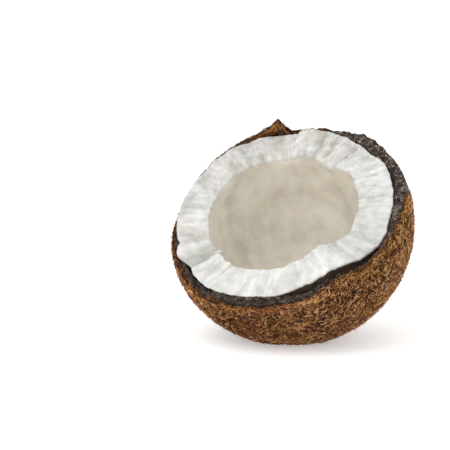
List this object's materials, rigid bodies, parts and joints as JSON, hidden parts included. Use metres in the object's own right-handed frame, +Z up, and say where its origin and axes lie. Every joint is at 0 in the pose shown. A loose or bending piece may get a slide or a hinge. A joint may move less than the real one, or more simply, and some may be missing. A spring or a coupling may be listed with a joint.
{
  "type": "coconut half",
  "caption": "Broken half of a husked coconut: fibrous brown shell lined with thick white flesh round a smooth hollow, leaning on a small flat spot.",
  "frame": {"origin": "middle of the small flat spot that the shell rests on", "axes": "+Z up, away from the surface it rests on; the opening leans 37 degrees forward from level, towards -Y; +X along the broken rim's level diameter, its width"},
  "size_m": [0.1078, 0.0995, 0.0902],
  "materials": {
    "husk": "dry, matt felt of curly brown husk fibres on a hard dark shell",
    "flesh": "moist, fine-grained white flesh with a thin brown skin where it met the shell"
  },
  "bodies": {
    "root": {"shell": "husk", "flesh": "flesh"}
  },
  "joints": []
}
